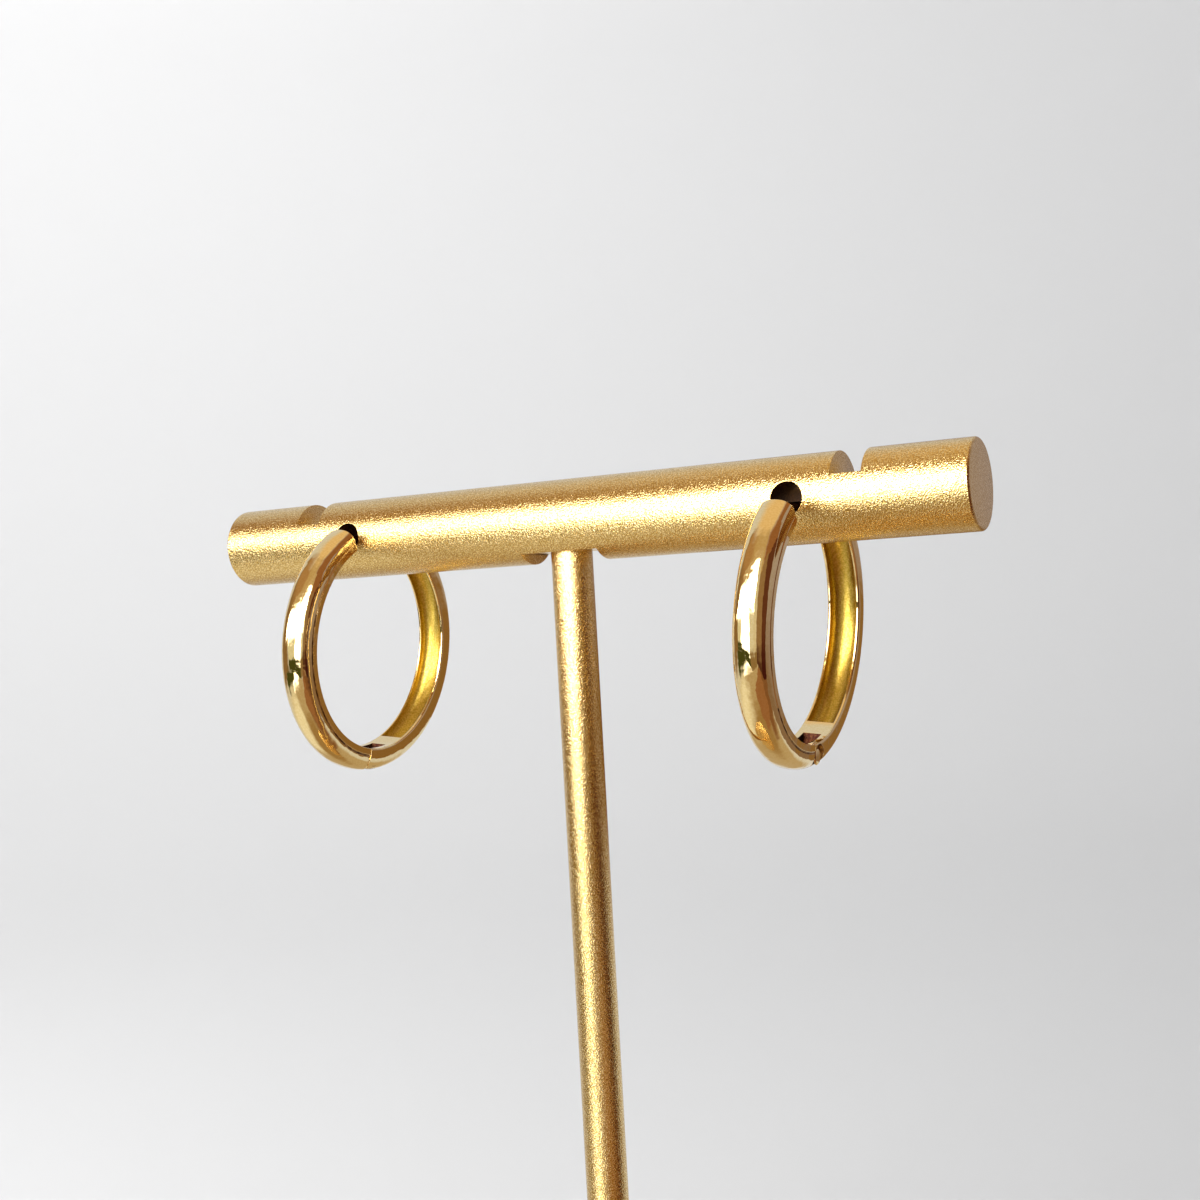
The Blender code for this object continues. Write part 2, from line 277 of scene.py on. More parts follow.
satin = makeMetal("satinChampagneGold", satinGold)
polished = makeMetal("polishedGold", polishedGold)
castAndShade = makeMetal("castGoldInsideAndShade", castGoldAndShade)
holeShade = makeMetal("paintedHoleShade", holeShadeMetal)
creaseShade = makeMetal("creaseShadeMetal", creaseShadeMetal)
print("metals made")


# Mesh tools

# How cut meshes are cleaned, and how near a face must lie to a formula to take its normal
surface = {
    "merge": 0.002,
    "bevelAbove": 50.0,
    "bevelRounds": 2,
    "creaseAbove": 38.0,
    "faceMatch": 14.0,
    "cornerMatch": 20.0,
    "barReach": 0.02,
    "innerReach": 0.01,
    "sideReach": 0.004,
    "shoulderReach": 0.001,
    "stripShort": 0.18,
    "domeReach": 0.02,
}


def outlineShape(points, toSpace):
    # A few vertices joined into one closed outline, ready to be spun or extruded
    shape = bmesh.new()
    corners = [shape.verts.new(toSpace(*point)) for point in points]
    for near, far in zip(corners, corners[1:] + corners[:1]):
        shape.edges.new((near, far))
    return shape


def fillOutlines(shape):
    openEdges = [edge for edge in shape.edges if edge.is_boundary or edge.is_wire]
    bmesh.ops.holes_fill(shape, edges=openEdges, sides=0)
    bmesh.ops.recalc_face_normals(shape, faces=shape.faces)


def prism(points, halfWidth, place):
    # An outline across X, given as (y, z) points and moved to its place
    shape = outlineShape(points, lambda y, z: Vector((-halfWidth, y, z)))
    bmesh.ops.contextual_create(shape, geom=shape.edges)
    made = bmesh.ops.extrude_face_region(shape, geom=shape.faces[:])
    moved = [item for item in made["geom"] if isinstance(item, bmesh.types.BMVert)]
    bmesh.ops.translate(shape, verts=moved, vec=(2 * halfWidth, 0, 0))
    bmesh.ops.recalc_face_normals(shape, faces=shape.faces)
    shape.transform(place)
    return shape


def rod(radius, length, sides, place):
    shape = bmesh.new()
    bmesh.ops.create_cone(shape, cap_ends=True, segments=sides, radius1=radius, radius2=radius,
                          depth=length)
    shape.transform(place)
    return shape


def block(low, high):
    shape = bmesh.new()
    bmesh.ops.create_cube(shape, size=1.0)
    size = Vector(high) - Vector(low)
    shape.transform(Matrix.Translation((Vector(high) + Vector(low)) / 2) @ Matrix.Diagonal((*size, 1.0)))
    return shape


def spun(points, sides):
    # A profile of (radius, along) points, spun whole about Z
    shape = bmesh.new()
    corners = [shape.verts.new((radius, 0, along)) for radius, along in points]
    edges = [shape.edges.new(pair) for pair in zip(corners, corners[1:])]
    bmesh.ops.spin(shape, geom=edges, cent=(0, 0, 0), axis=(0, 0, 1), angle=2 * math.pi, steps=sides,
                   use_merge=True)
    return shape


def turned(points, sides, place):
    # A solid from a profile that runs from axis to axis
    shape = spun(points, sides)
    onAxis = [vert for vert in shape.verts if vert.co.xy.length < tiny]
    bmesh.ops.remove_doubles(shape, verts=onAxis, dist=10 * tiny)
    bmesh.ops.recalc_face_normals(shape, faces=shape.faces)
    shape.transform(place)
    return shape


def arcPoints(radius, start, stop, steps, middle=(0.0, 0.0)):
    turns = [start + (stop - start) * index / steps for index in range(steps + 1)]
    return [(middle[0] + radius * math.cos(turn), middle[1] + radius * math.sin(turn)) for turn in turns]


def roundedRod(radius, length, edge):
    # Profile of a rod with both rims rounded, in the units of its sizes
    half = length / 2
    steps = 5
    low = arcPoints(edge, -math.pi / 2, 0.0, steps, (radius - edge, edge - half))
    high = arcPoints(edge, 0.0, math.pi / 2, steps, (radius - edge, half - edge))
    return [(0.0, -half)] + low + high + [(0.0, half)]


def makeObject(name, shape, materials, materialIndex=0):
    mesh = bpy.data.meshes.new(name)
    if materialIndex:
        for face in shape.faces:
            face.material_index = materialIndex
    shape.to_mesh(mesh)
    shape.free()
    for material in materials:
        mesh.materials.append(material)
    made = bpy.data.objects.new(name, mesh)
    scene.collection.objects.link(made)
    return made


def carve(piece, steps):
    # Cuts away or joins each tool in turn, then keeps the result as the piece's own mesh
    tools = []
    for number, (operation, shape, materialIndex) in enumerate(steps):
        tool = makeObject(piece.name + "_tool_%d" % number, shape, piece.data.materials, materialIndex)
        change = piece.modifiers.new("step", "BOOLEAN")
        change.operation = operation
        change.object = tool
        tools.append(tool)
    result = bpy.data.meshes.new_from_object(piece.evaluated_get(bpy.context.evaluated_depsgraph_get()))
    piece.modifiers.clear()
    piece.data = result
    for tool in tools:
        bpy.data.objects.remove(tool)


def softenEdges(piece, width):
    # Takes the knife edge off every sharp corner that the cuts leave
    shape = bmesh.new()
    shape.from_mesh(piece.data)
    bmesh.ops.remove_doubles(shape, verts=shape.verts, dist=surface["merge"] * mm)
    bmesh.ops.dissolve_degenerate(shape, dist=surface["merge"] * mm, edges=shape.edges)
    limit = math.radians(surface["bevelAbove"])
    edges = [edge for edge in shape.edges if edge.is_manifold and edge.calc_face_angle() > limit]
    bmesh.ops.bevel(shape, geom=edges, offset=width, offset_type="OFFSET", segments=surface["bevelRounds"],
                    profile=0.5, affect="EDGES", clamp_overlap=False, material=-1)
    shape.to_mesh(piece.data)
    shape.free()


def shadeSmoothly(piece, trueNormal=None, angle=surface["creaseAbove"]):
    # Smooth shading, with the exact normal wherever the surface follows a formula
    mesh = piece.data
    mesh.shade_smooth()
    mesh.set_sharp_from_angle(angle=math.radians(angle))
    if trueNormal is None:
        return
    normals = [Vector((0, 0, 0))] * len(mesh.loops)
    faceMatch, cornerMatch = (math.radians(surface[key]) for key in ("faceMatch", "cornerMatch"))
    for face in mesh.polygons:
        guess = trueNormal(face.center)
        if guess is None or guess.angle(face.normal, math.pi) > faceMatch:
            continue
        for loop in face.loop_indices:
            exact = trueNormal(mesh.vertices[mesh.loops[loop].vertex_index].co)
            if exact is not None and exact.angle(face.normal, math.pi) < cornerMatch:
                normals[loop] = exact
    mesh.normals_split_custom_set(normals)


def finishPiece(piece, bodyName, nodeName):
    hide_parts(nodeName)
    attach(piece, bodyName)
    print("made", piece.name, len(piece.data.polygons), "faces")


# Stand

stand = {
    "barEdge": 0.3,
    "barSides": 192,
    "topSlotSpacing": 58.0,
    "topSlotWidth": 2.8,
    "topSlotDepth": 2.25,
    "holeSpacing": 47.5,
    "holeDiameter": 2.9,
    "holeSides": 64,
    "notchWidth": 8.2,
    "notchDepth": 1.0,
    "cutEdge": 0.05,
    "stemSides": 96,
    "baseEdge": 0.6,
    "baseSides": 192,
    "baseCreaseAbove": 50.0,
}


def makeBar(setup):
    low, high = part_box("stand_bar")
    middle = (low + high) / 2
    radius = (high.z - low.z) / 2
    alongX = Matrix.Translation(middle) @ Matrix.Rotation(math.pi / 2, 4, "Y")
    profile = roundedRod(radius, high.x - low.x, setup["barEdge"] * mm)
    bar = makeObject("bar", turned(profile, setup["barSides"], alongX), [satin, holeShade])
    past = overshoot * mm
    over = radius + past
    half = setup["topSlotWidth"] / 2 * mm
    satinFace, boreShadeFace = 0, 1
    cuts = []
    for sign in (-1, 1):
        slotX = middle.x + sign * setup["topSlotSpacing"] / 2 * mm
        floor = high.z - setup["topSlotDepth"] * mm
        slot = block((slotX - half, -over, floor), (slotX + half, over, high.z + past))
        cuts.append(("DIFFERENCE", slot, satinFace))
        holeX = middle.x + sign * setup["holeSpacing"] / 2 * mm
        alongY = Matrix.Translation((holeX, 0, middle.z)) @ Matrix.Rotation(math.pi / 2, 4, "X")
        hole = rod(setup["holeDiameter"] / 2 * mm, 2 * over, setup["holeSides"], alongY)
        # painted shade: the hole's wall takes the near-black colour
        cuts.append(("DIFFERENCE", hole, boreShadeFace))
    notch = setup["notchWidth"] / 2 * mm
    notchTop = low.z + setup["notchDepth"] * mm
    seat = block((-notch, -over, low.z - past), (notch, over, notchTop))
    cuts.append(("DIFFERENCE", seat, satinFace))
    carve(bar, cuts)
    softenEdges(bar, setup["cutEdge"] * mm)

    def barNormal(point):
        out = Vector((0, point.y - middle.y, point.z - middle.z))
        if abs(out.length - radius) < surface["barReach"] * mm:
            return out.normalized()
        return None

    shadeSmoothly(bar, barNormal)
    finishPiece(bar, body, "stand_bar")


def makeStem(setup):
    low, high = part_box("stand_stem")
    radius = (high.x - low.x) / 2
    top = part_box("stand_bar")[0].z + setup["notchDepth"] * mm
    place = Matrix.Translation((0, 0, (low.z + top) / 2))
    stem = makeObject("stem", rod(radius, top - low.z, setup["stemSides"], place), [satin])
    shadeSmoothly(stem)
    finishPiece(stem, body, "stand_stem")


def makeBase(setup):
    low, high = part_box("stand_base")
    middle = (low + high) / 2
    profile = roundedRod((high.x - low.x) / 2, high.z - low.z, setup["baseEdge"] * mm)
    base = makeObject("base", turned(profile, setup["baseSides"], Matrix.Translation(middle)), [satin])
    shadeSmoothly(base, angle=setup["baseCreaseAbove"])
    finishPiece(base, body, "stand_base")


makeBar(stand)
makeStem(stand)
makeBase(stand)


# Hoops, made about their own centre: X across the band, the hinge below and the post along Y

hoop = {
    "diameter": 26.0,
    "width": 3.2,
    "thickness": 2.3,
    "side": 0.85,
    "domePower": 2.4,
    "rimEdge": 0.08,
    "backRimEdge": 0.24,
    "rimSteps": 6,
    "grooveWidth": 0.2,
    "grooveDepth": 0.07,
    "grooveSteps": 8,
    # How far the painted crease shade reaches in from the side, and the height below which it starts on
    # each hoop
    "tarnishReach": 0.3,
    "tarnishBelow": {"left": 2.5, "right": -6.0},
    "channelRim": 0.32,
    "channelWall": 1.1,
    "channelSide": 0.3,
    "channelPower": 2.0,
    "channelSteps": 14,
    "endFromTop": 29.5,
    "endRound": 0.25,
    "endSteps": 6,
    "endBlock": 2.0,
    "frontHingeBlock": 3.0,
    "backHingeBlock": 4.6,
    "spinStep": 1.25,
    "domeSteps": 44,
    "edge": 0.04,
    "lean": 5.3,
    "tilt": {"left": -4.5, "right": 4.5},
}
post = {
    "diameter": 0.8,
    "outward": 0.1,
    "tip": 0.4,
    "root": 0.8,
    "socketClearance": 0.22,
    "sides": 40,
}
hinge = {
    "angle": -89.5,
    "pinDepth": 1.3,
    "pinDiameter": 0.8,
    "pinClearance": 0.15,
    "pinSides": 48,
    "boreSides": 32,
    "headDiameter": 1.5,
    "headRise": 0.25,
    "headSteps": 8,
    "blindWall": 0.3,
    "earWidth": 0.75,
    "earNose": 1.1,
    "noseStart": 30.3,
    "seamGap": 0.12,
    "noseGap": 0.15,
    "tongueNose": 0.9,
    "tongueTail": 1.7,
    "tongueTailDepth": 0.8,
    "tongueGap": 0.2,
    "tongueFaceDrop": 0.06,
    "tongueCorner": 0.35,
    "cornerSteps": 6,
    "neckDepth": 0.45,
    "neckTurn": 54.0,
    "tailRoom": 0.7,
    "recessDepth": 0.35,
    "recessOverlap": 0.07,
    "recessSides": 48,
    "arcSteps": 20,
}

outer = hoop["diameter"] / 2
inner = outer - hoop["thickness"]
shoulder = inner + hoop["side"]
halfBand = hoop["width"] / 2
endTurn = math.radians(hoop["endFromTop"])
postHeight = (inner + outer) / 2 * math.cos(endTurn) + post["outward"]
postReach = postHeight * math.tan(endTurn)
pinRadius = inner + hinge["pinDepth"]
hingeTurn = math.radians(hinge["angle"])
boreRadius = hinge["pinDiameter"] / 2 + hinge["pinClearance"]
earCorner = hinge["earNose"] * math.cos(math.radians(hinge["noseStart"]))
slotWidth = hoop["width"] - 2 * hinge["earWidth"]
tongueWidth = slotWidth - 2 * hinge["tongueGap"]
noseRoom = hoop["endRound"] / ((inner + outer) / 2)

# The hoops' materials, in the order of their faces' numbers
hoopMetals = [polished, castAndShade, creaseShade, holeShade]
polishedFace, castAndShadeFace, creaseShadeFace, holeShadeFace = range(4)


def domePoints(halfWidth, foot, top, power, steps):
    # Half of a rounded top, from the side at the foot to the crown
    points = []
    for index in range(steps + 1):
        turn = math.pi / 2 * index / steps
        across = math.cos(turn) ** (2 / power) if index < steps else 0.0
        points.append((halfWidth * across, foot + (top - foot) * math.sin(turn) ** (2 / power)))
    return points


def bandSection(setup, grooved):
    # Flat inside, a plain side strip, a fine groove on the front half and the dome,
    # as (across, radius) points
    edge = setup["rimEdge"] if grooved else setup["backRimEdge"]
    grooveHalf = setup["grooveWidth"] / 2
    right = arcPoints(edge, -math.pi / 2, 0.0, setup["rimSteps"], (halfBand - edge, inner + edge))
    for index in range(setup["grooveSteps"] + 1 if grooved else 0):
        turn = math.pi * index / setup["grooveSteps"]
        right.append((halfBand - setup["grooveDepth"] * math.sin(turn),
                      shoulder - grooveHalf - grooveHalf * math.cos(turn)))
    right += domePoints(halfBand, shoulder, outer, setup["domePower"], setup["domeSteps"] // 2)[grooved:]
    left = [(-across, radius) for across, radius in reversed(right[:-1])]
    return right + left


def channelSection(setup):
    half = halfBand - setup["channelRim"]
    floor = outer - setup["channelWall"]
    foot = inner + setup["channelSide"]
    right = [(half, inner - overshoot), (half, foot)]
    right += domePoints(half, foot, floor, setup["channelPower"], setup["channelSteps"])[1:]
    return right + [(-across, radius) for across, radius in reversed(right[:-1])]


def darkenCrease(shape, side):
    # Painted shade: the groove between the side strip and the dome takes the dark crease colour towards
    # the hinge, below a height set for each hoop
    low, high = (shoulder - hoop["grooveWidth"]) * mm, shoulder * mm
    for face in shape.faces:
        middle = face.calc_center_median()
        if middle.z > hoop["tarnishBelow"][side] * mm:
            continue
        if low < middle.yz.length < high and abs(middle.x) > (halfBand - hoop["tarnishReach"]) * mm:
            face.material_index = creaseShadeFace


def ring(points, turn):
    return outlineShape(points, lambda across, radius: Vector(
        (across, radius * math.cos(turn), radius * math.sin(turn))) * mm)


def sweepBand(points, start, stop):
    shape = ring(points, start)
    steps = max(2, round(abs(stop - start) / math.radians(hoop["spinStep"])))
    bmesh.ops.spin(shape, geom=shape.edges[:], cent=(0, 0, 0), axis=(1, 0, 0), angle=stop - start,
                   steps=steps)
    return shape


def roundEnd(shape, turn, direction):
    # Grows the open end of a band into a rounded nose, still open for the fill that follows
    size = hoop["endRound"]
    rounds = hoop["endSteps"]
    radial = Vector((0, math.cos(turn), math.sin(turn)))
    along = Vector((0, -math.sin(turn), math.cos(turn))) * direction
    edges = [edge for edge in shape.edges if edge.is_boundary
             and all(abs(vert.co.dot(along)) < tiny and vert.co.dot(radial) > 0 for vert in edge.verts)]
    heart = radial * (inner + outer) / 2 * mm
    shrunk = 0.0
    for index in range(1, rounds + 1):
        bend = math.pi / 2 * index / rounds
        made = bmesh.ops.extrude_edge_only(shape, edges=edges)["geom"]
        edges = [item for item in made if isinstance(item, bmesh.types.BMEdge)]
        verts = [item for item in made if isinstance(item, bmesh.types.BMVert)]
        shrink = size * (1 - math.cos(bend))
        step = size * (math.sin(bend) - math.sin(bend - math.pi / 2 / rounds)) * mm
        for vert in verts:
            out = vert.co - heart
            across = out.x * ((halfBand - shrink) / (halfBand - shrunk))
            up = out.dot(radial) * ((hoop["thickness"] / 2 - shrink) / (hoop["thickness"] / 2 - shrunk))
            vert.co = heart + Vector((across, 0, 0)) + radial * up + along * out.dot(along)
        bmesh.ops.translate(shape, verts=verts, vec=along * step)
        shrunk = shrink


def hingePlace():
    # At the pin, with Y along the band towards the back half and Z towards the hoop's centre
    pin = Vector((0, math.cos(hingeTurn), math.sin(hingeTurn))) * pinRadius
    return Matrix.Scale(mm, 4) @ Matrix.Translation(pin) @ Matrix.Rotation(hingeTurn + math.pi / 2, 4, "X")


def seamOutline(corner, nose, frontSide):
    # The parting line: a straight upper seam, then the nose's arc down to the outer face
    curve = arcPoints(nose, math.pi - math.acos(corner / nose), 1.5 * math.pi, hinge["arcSteps"])
    above = hinge["pinDepth"] + overshoot
    far = nose + 2 * overshoot
    if frontSide:
        return [(-far, above), (-corner, above)] + curve + [(0.0, -far), (-far, -far)]
    return [(-corner, above)] + curve + [(0.0, -far), (far, -far), (far, above)]


def slotOutline():
    # Open at the seam, round below the tongue's nose and shallow under its tail
    reach = hinge["tongueNose"] + hinge["tongueGap"]
    floor = hinge["pinDepth"] - hinge["tongueTailDepth"] - hinge["tongueGap"]
    above = hinge["pinDepth"] + overshoot
    far = hinge["earNose"] + 2 * overshoot
    end = hinge["tongueTail"] + hinge["tailRoom"]
    curve = arcPoints(reach, -math.pi / 2, math.asin(floor / reach), hinge["arcSteps"])
    return [(-far, -far), (0.0, -far)] + curve + [(end, floor), (end, above), (-far, above)]


def tongueOutline():
    # Round at the nose, with a neck into the front half and a tail along the inner face
    root = -hinge["earNose"] - hinge["noseGap"] - hinge["pinDepth"]
    face = hinge["pinDepth"] - hinge["tongueFaceDrop"]
    tailFloor = hinge["pinDepth"] - hinge["tongueTailDepth"]
    nose = hinge["tongueNose"]
    tail = hinge["tongueTail"]
    corner = hinge["tongueCorner"]
    outline = [(root, face), (root, -hinge["neckDepth"])]
    outline += arcPoints(nose, math.pi + math.radians(hinge["neckTurn"]), 2 * math.pi, hinge["arcSteps"])
    outline += [(nose, tailFloor), (tail - corner / 3, tailFloor)]
    outline += arcPoints(corner, 0.0, math.pi / 2, hinge["cornerSteps"], (tail - corner, face - corner))
    return outline


def rodX(radius, start, stop, sides):
    middle = Matrix.Translation(((start + stop) / 2, 0, 0)) @ Matrix.Rotation(math.pi / 2, 4, "Y")
    return rod(radius, abs(stop - start), sides, hingePlace() @ middle)


def rodY(radius, start, stop):
    middle = Matrix.Translation((0, (start + stop) / 2, postHeight)) @ Matrix.Rotation(math.pi / 2, 4, "X")
    return rod(radius, abs(stop - start), post["sides"], Matrix.Scale(mm, 4) @ middle)


def bandNormal(point):
    # The exact direction of the dome, the side strip and the inner face, in the hoop's own frame
    x, y, z = point / mm
    radius = math.hypot(y, z)
    away = Vector((0, y, z)) / max(radius, tiny)
    if radius < inner + surface["innerReach"]:
        return -away
    if abs(abs(x) - halfBand) < surface["sideReach"] and radius < shoulder - surface["stripShort"]:
        return Vector((math.copysign(1.0, x), 0, 0))
    if radius < shoulder - surface["shoulderReach"]:
        return None
    power = hoop["domePower"]
    across = min(1.0, abs(x) / halfBand)
    up = max(0.0, (radius - shoulder) / (outer - shoulder))
    if abs((across**power + up**power) ** (1 / power) - 1) > surface["domeReach"]:
        return None
    slope = Vector((math.copysign(across ** (power - 1) / halfBand, x), 0, 0))
    slope += away * up ** (power - 1) / (outer - shoulder)
    return slope.normalized()


def hoopPlace(side):
    # The joint gives the pin's place, so the hoop's centre follows from it
    joint = next(item for item in frame["joints"] if item["name"].startswith(side))
    lean = Matrix.Rotation(math.radians(hoop["lean"]), 4, "Y")
    tilt = Matrix.Rotation(math.radians(hoop["tilt"][side]), 4, "X")
    pin = Vector((0, math.cos(hingeTurn), math.sin(hingeTurn))) * pinRadius * mm
    return Matrix.Translation(Vector(joint["pos_m"]) - (lean @ tilt) @ pin) @ lean @ tilt


def hangPiece(piece, side):
    piece.data.transform(hoopPlace(side))


def makeBack(side, pinSide):
    start = hingeTurn - (hinge["earNose"] + overshoot) / pinRadius
    stop = math.pi / 2 - endTurn
    shape = sweepBand(bandSection(hoop, False), start, stop - noseRoom)
    roundEnd(shape, stop - noseRoom, 1)
    fillOutlines(shape)
    piece = makeObject(side + "BackHalf", shape, hoopMetals)
    channelStart = hingeTurn + hoop["backHingeBlock"] / inner
    channel = sweepBand(channelSection(hoop), channelStart, stop - hoop["endBlock"] / inner)
    fillOutlines(channel)
    openX = pinSide * (halfBand + overshoot)
    recessX = pinSide * (halfBand - hinge["recessDepth"])
    blindX = -pinSide * (halfBand - hinge["blindWall"])
    seam = prism(seamOutline(earCorner, hinge["earNose"], True), hoop["width"], hingePlace())
    slot = prism(slotOutline(), slotWidth / 2, hingePlace())
    bore = rodX(boreRadius, blindX, openX, hinge["boreSides"])
    recessRadius = hinge["earNose"] + hinge["recessOverlap"]
    recess = rodX(recessRadius, recessX, openX, hinge["recessSides"])
    wire = rodY(post["diameter"] / 2, -postReach - post["tip"], postReach + post["root"])
    carve(piece, [
        # the channel takes the cast colour, darkened as painted shade
        ("DIFFERENCE", channel, castAndShadeFace),
        ("DIFFERENCE", seam, polishedFace),
        # painted shade: the hinge slot's walls take the near-black colour
        ("DIFFERENCE", slot, holeShadeFace),
        ("DIFFERENCE", bore, polishedFace),
        # painted shade: the pin's recess takes the dark crease colour
        ("DIFFERENCE", recess, creaseShadeFace),
        ("UNION", wire, polishedFace),
    ])
    softenEdges(piece, hoop["edge"] * mm)
    shadeSmoothly(piece, bandNormal)
    hangPiece(piece, side)
    finishPiece(piece, body, side + "_hoop_back")


def makeFront(side):
    start = math.pi / 2 + endTurn
    stop = 2 * math.pi + hingeTurn
    shape = sweepBand(bandSection(hoop, True), stop, start + noseRoom)
    roundEnd(shape, start + noseRoom, -1)
    fillOutlines(shape)
    darkenCrease(shape, side)
    piece = makeObject(side + "FrontHalf", shape, hoopMetals[:holeShadeFace])
    frontNose = hinge["earNose"] + hinge["noseGap"]
    channelStop = stop - (frontNose + hoop["frontHingeBlock"]) / inner
    channel = sweepBand(channelSection(hoop), start + hoop["endBlock"] / inner, channelStop)
    fillOutlines(channel)
    clearance = post["socketClearance"]
    seam = prism(seamOutline(earCorner + hinge["seamGap"], frontNose, False), hoop["width"], hingePlace())
    tongue = prism(tongueOutline(), tongueWidth / 2, hingePlace())
    bore = rodX(boreRadius, -halfBand, halfBand, hinge["boreSides"])
    socket = rodY(post["diameter"] / 2 + clearance, -postReach - post["tip"] - clearance, 0.0)
    carve(piece, [
        ("DIFFERENCE", channel, castAndShadeFace),
        ("DIFFERENCE", seam, polishedFace),
        ("UNION", tongue, polishedFace),
        ("DIFFERENCE", bore, polishedFace),
        ("DIFFERENCE", socket, castAndShadeFace),
    ])
    softenEdges(piece, hoop["edge"] * mm)
    shadeSmoothly(piece, bandNormal)
    hangPiece(piece, side)
    finishPiece(piece, side + "_front_half", side + "_hoop_front")


def makePin(side, pinSide):
    # A round pin with a low domed head, seated in its recess
    seat = halfBand - hinge["recessDepth"] + hinge["pinClearance"] / 2
    tip = hinge["blindWall"] + hinge["pinClearance"] - halfBand
    shank = hinge["pinDiameter"] / 2
    head = hinge["headDiameter"] / 2
    dome = arcPoints(1.0, 0.0, math.pi / 2, hinge["headSteps"])
    profile = [(0.0, tip), (shank, tip), (shank, seat), (head, seat)]
    profile += [(head * across, seat + hinge["headRise"] * up) for across, up in dome[1:-1]]
    profile.append((0.0, seat + hinge["headRise"]))
    place = hingePlace() @ Matrix.Rotation(pinSide * math.pi / 2, 4, "Y")
    piece = makeObject(side + "HingePin", turned(profile, hinge["pinSides"], place), [polished])
    shadeSmoothly(piece)
    hangPiece(piece, side)
    finishPiece(piece, body, side + "_hinge_pin")


for side, pinSide in (("left", -1), ("right", 1)):
    makeBack(side, pinSide)
    makeFront(side)
    makePin(side, pinSide)


# Studio: a pale floor that curves up into a wall all round, lit softly

studio = {
    "floorRadius": 0.45,
    "bend": 0.55,
    "bendSteps": 24,
    "wallHeight": 1.1,
    "sides": 96,
    "merge": 1e-5,
    "colour": (0.62, 0.62, 0.622),
}


def makeStudio(setup):
    bend = setup["bend"]
    profile = [(0.0, 0.0), (setup["floorRadius"], 0.0)]
    steps = setup["bendSteps"]
    for index in range(1, steps + 1):
        turn = math.pi / 2 * index / steps
        profile.append((setup["floorRadius"] + bend * math.sin(turn), bend * (1 - math.cos(turn))))
    profile.append((setup["floorRadius"] + bend, bend + setup["wallHeight"]))
    shape = spun(profile, setup["sides"])
    bmesh.ops.remove_doubles(shape, verts=shape.verts, dist=setup["merge"])
    material = bpy.data.materials.new("paleStudio")
    material.use_nodes = True
    shader = material.node_tree.nodes["Principled BSDF"]
    shader.inputs["Base Color"].default_value = (*setup["colour"], 1.0)
    shader.inputs["Roughness"].default_value = 1.0
    shader.inputs["Specular IOR Level"].default_value = 0.0
    sweep = makeObject("studioSweep", shape, [material])
    sweep.data.shade_smooth()
    sweep.visible_glossy = False
    sweep.visible_shadow = False


makeStudio(studio)

lamps = {
    # Place, aim, size, power
    "wallHighLeft": ((-0.62, 0.30, 0.95), (-0.80, 0.55, 0.70), 0.5, 3.35),
    "wallLeft": ((-0.70, 0.05, 0.45), (-0.92, 0.42, 0.35), 0.28, 0.58),
    "floorFront": ((-0.20, -0.25, 0.35), (-0.10, 0.15, 0.0), 0.3, 2.8),
    "wallRight": ((0.05, 0.45, 0.95), (0.0, 0.90, 0.85), 0.4, 0.9),
    "wallTop": ((-0.40, 0.45, 1.30), (-0.50, 0.75, 0.90), 0.5, 7.1),
}

# Cards close to the stand, seen in the gold and not by the camera:
# a tall soft box in front and brown cards at its right.
# Each stands upright between two points of the floor plan, or lies flat, and changes light with height.
# A step is a height, its softness, and the light below and above it.
olive = (0.07, 0.075, 0.015)
brownFoot = (0.30, 0.20, 0.09)
warmTop = (0.60, 0.45, 0.26)
paleTop = (0.42, 0.36, 0.36)
floorBrown = (0.34, 0.16, 0.07)
cards = [
    {"name": "frontSoftbox", "start": (14, -62), "end": (-44, -108), "low": 52, "high": 190,
     "steps": [(69, 3, olive, (6.0, 6.0, 5.9)), (112, 14, None, (8.6, 8.6, 8.5)),
               (148, 12, None, (0.64, 0.48, 0.28))]},
    {"name": "frontLeftCard", "start": (-44, -108), "end": (-116, -110), "low": 52, "high": 190,
     "steps": [(69, 3, olive, (0.80, 0.78, 0.62)), (106, 8, None, (6.2, 6.2, 6.1)),
               (165, 14, None, warmTop)]},
    {"name": "frontLeftEnd", "start": (-116, -110), "end": (-190, -114), "low": 100, "high": 190,
     "steps": [(114, 7, (0.36, 0.24, 0.11), (9.0, 9.0, 8.8)), (168, 14, None, warmTop)]},
    {"name": "frontUpperCard", "start": (34, -61), "end": (14, -62), "low": 52, "high": 190,
     "steps": [(69, 3, brownFoot, (0.78, 0.76, 0.66)), (104, 7, None, (13.0, 13.0, 12.8)),
               (146, 12, None, warmTop)]},
    {"name": "frontCreamCard", "start": (52, -60), "end": (34, -61), "low": 52, "high": 190,
     "steps": [(69, 3, brownFoot, (0.74, 0.68, 0.54)), (146, 20, None, warmTop)]},
    {"name": "rightBrownCard", "start": (65, -26), "end": (52, -60), "low": 56, "high": 130,
     "steps": [(70, 8, (0.10, 0.04, 0.02), (0.32, 0.20, 0.10))]},
    {"name": "rightDarkCard", "start": (65, -26), "end": (82, 10), "low": 56, "high": 124,
     "steps": [(74, 8, (0.06, 0.012, 0.008), (0.13, 0.045, 0.022))]},
    {"name": "rightWarmCard", "start": (84, 12), "end": (52, 75), "low": 50, "high": 150,
     "steps": [(80, 14, (0.26, 0.17, 0.11), paleTop)]},
    {"name": "backWarmCard", "start": (52, 75), "end": (-50, 137), "low": 50, "high": 150,
     "steps": [(92, 6, (0.27, 0.15, 0.05), paleTop)]},
    {"name": "rightFloorCard", "flat": ((14, -84), (120, -120), (120, 6), (40, -10)), "height": 1,
     "steps": [(40, 5, floorBrown, floorBrown)]},
]
raggedEdge = {
    "scale": 110.0,
    "detail": 3.0,
    "height": 14.0,
}


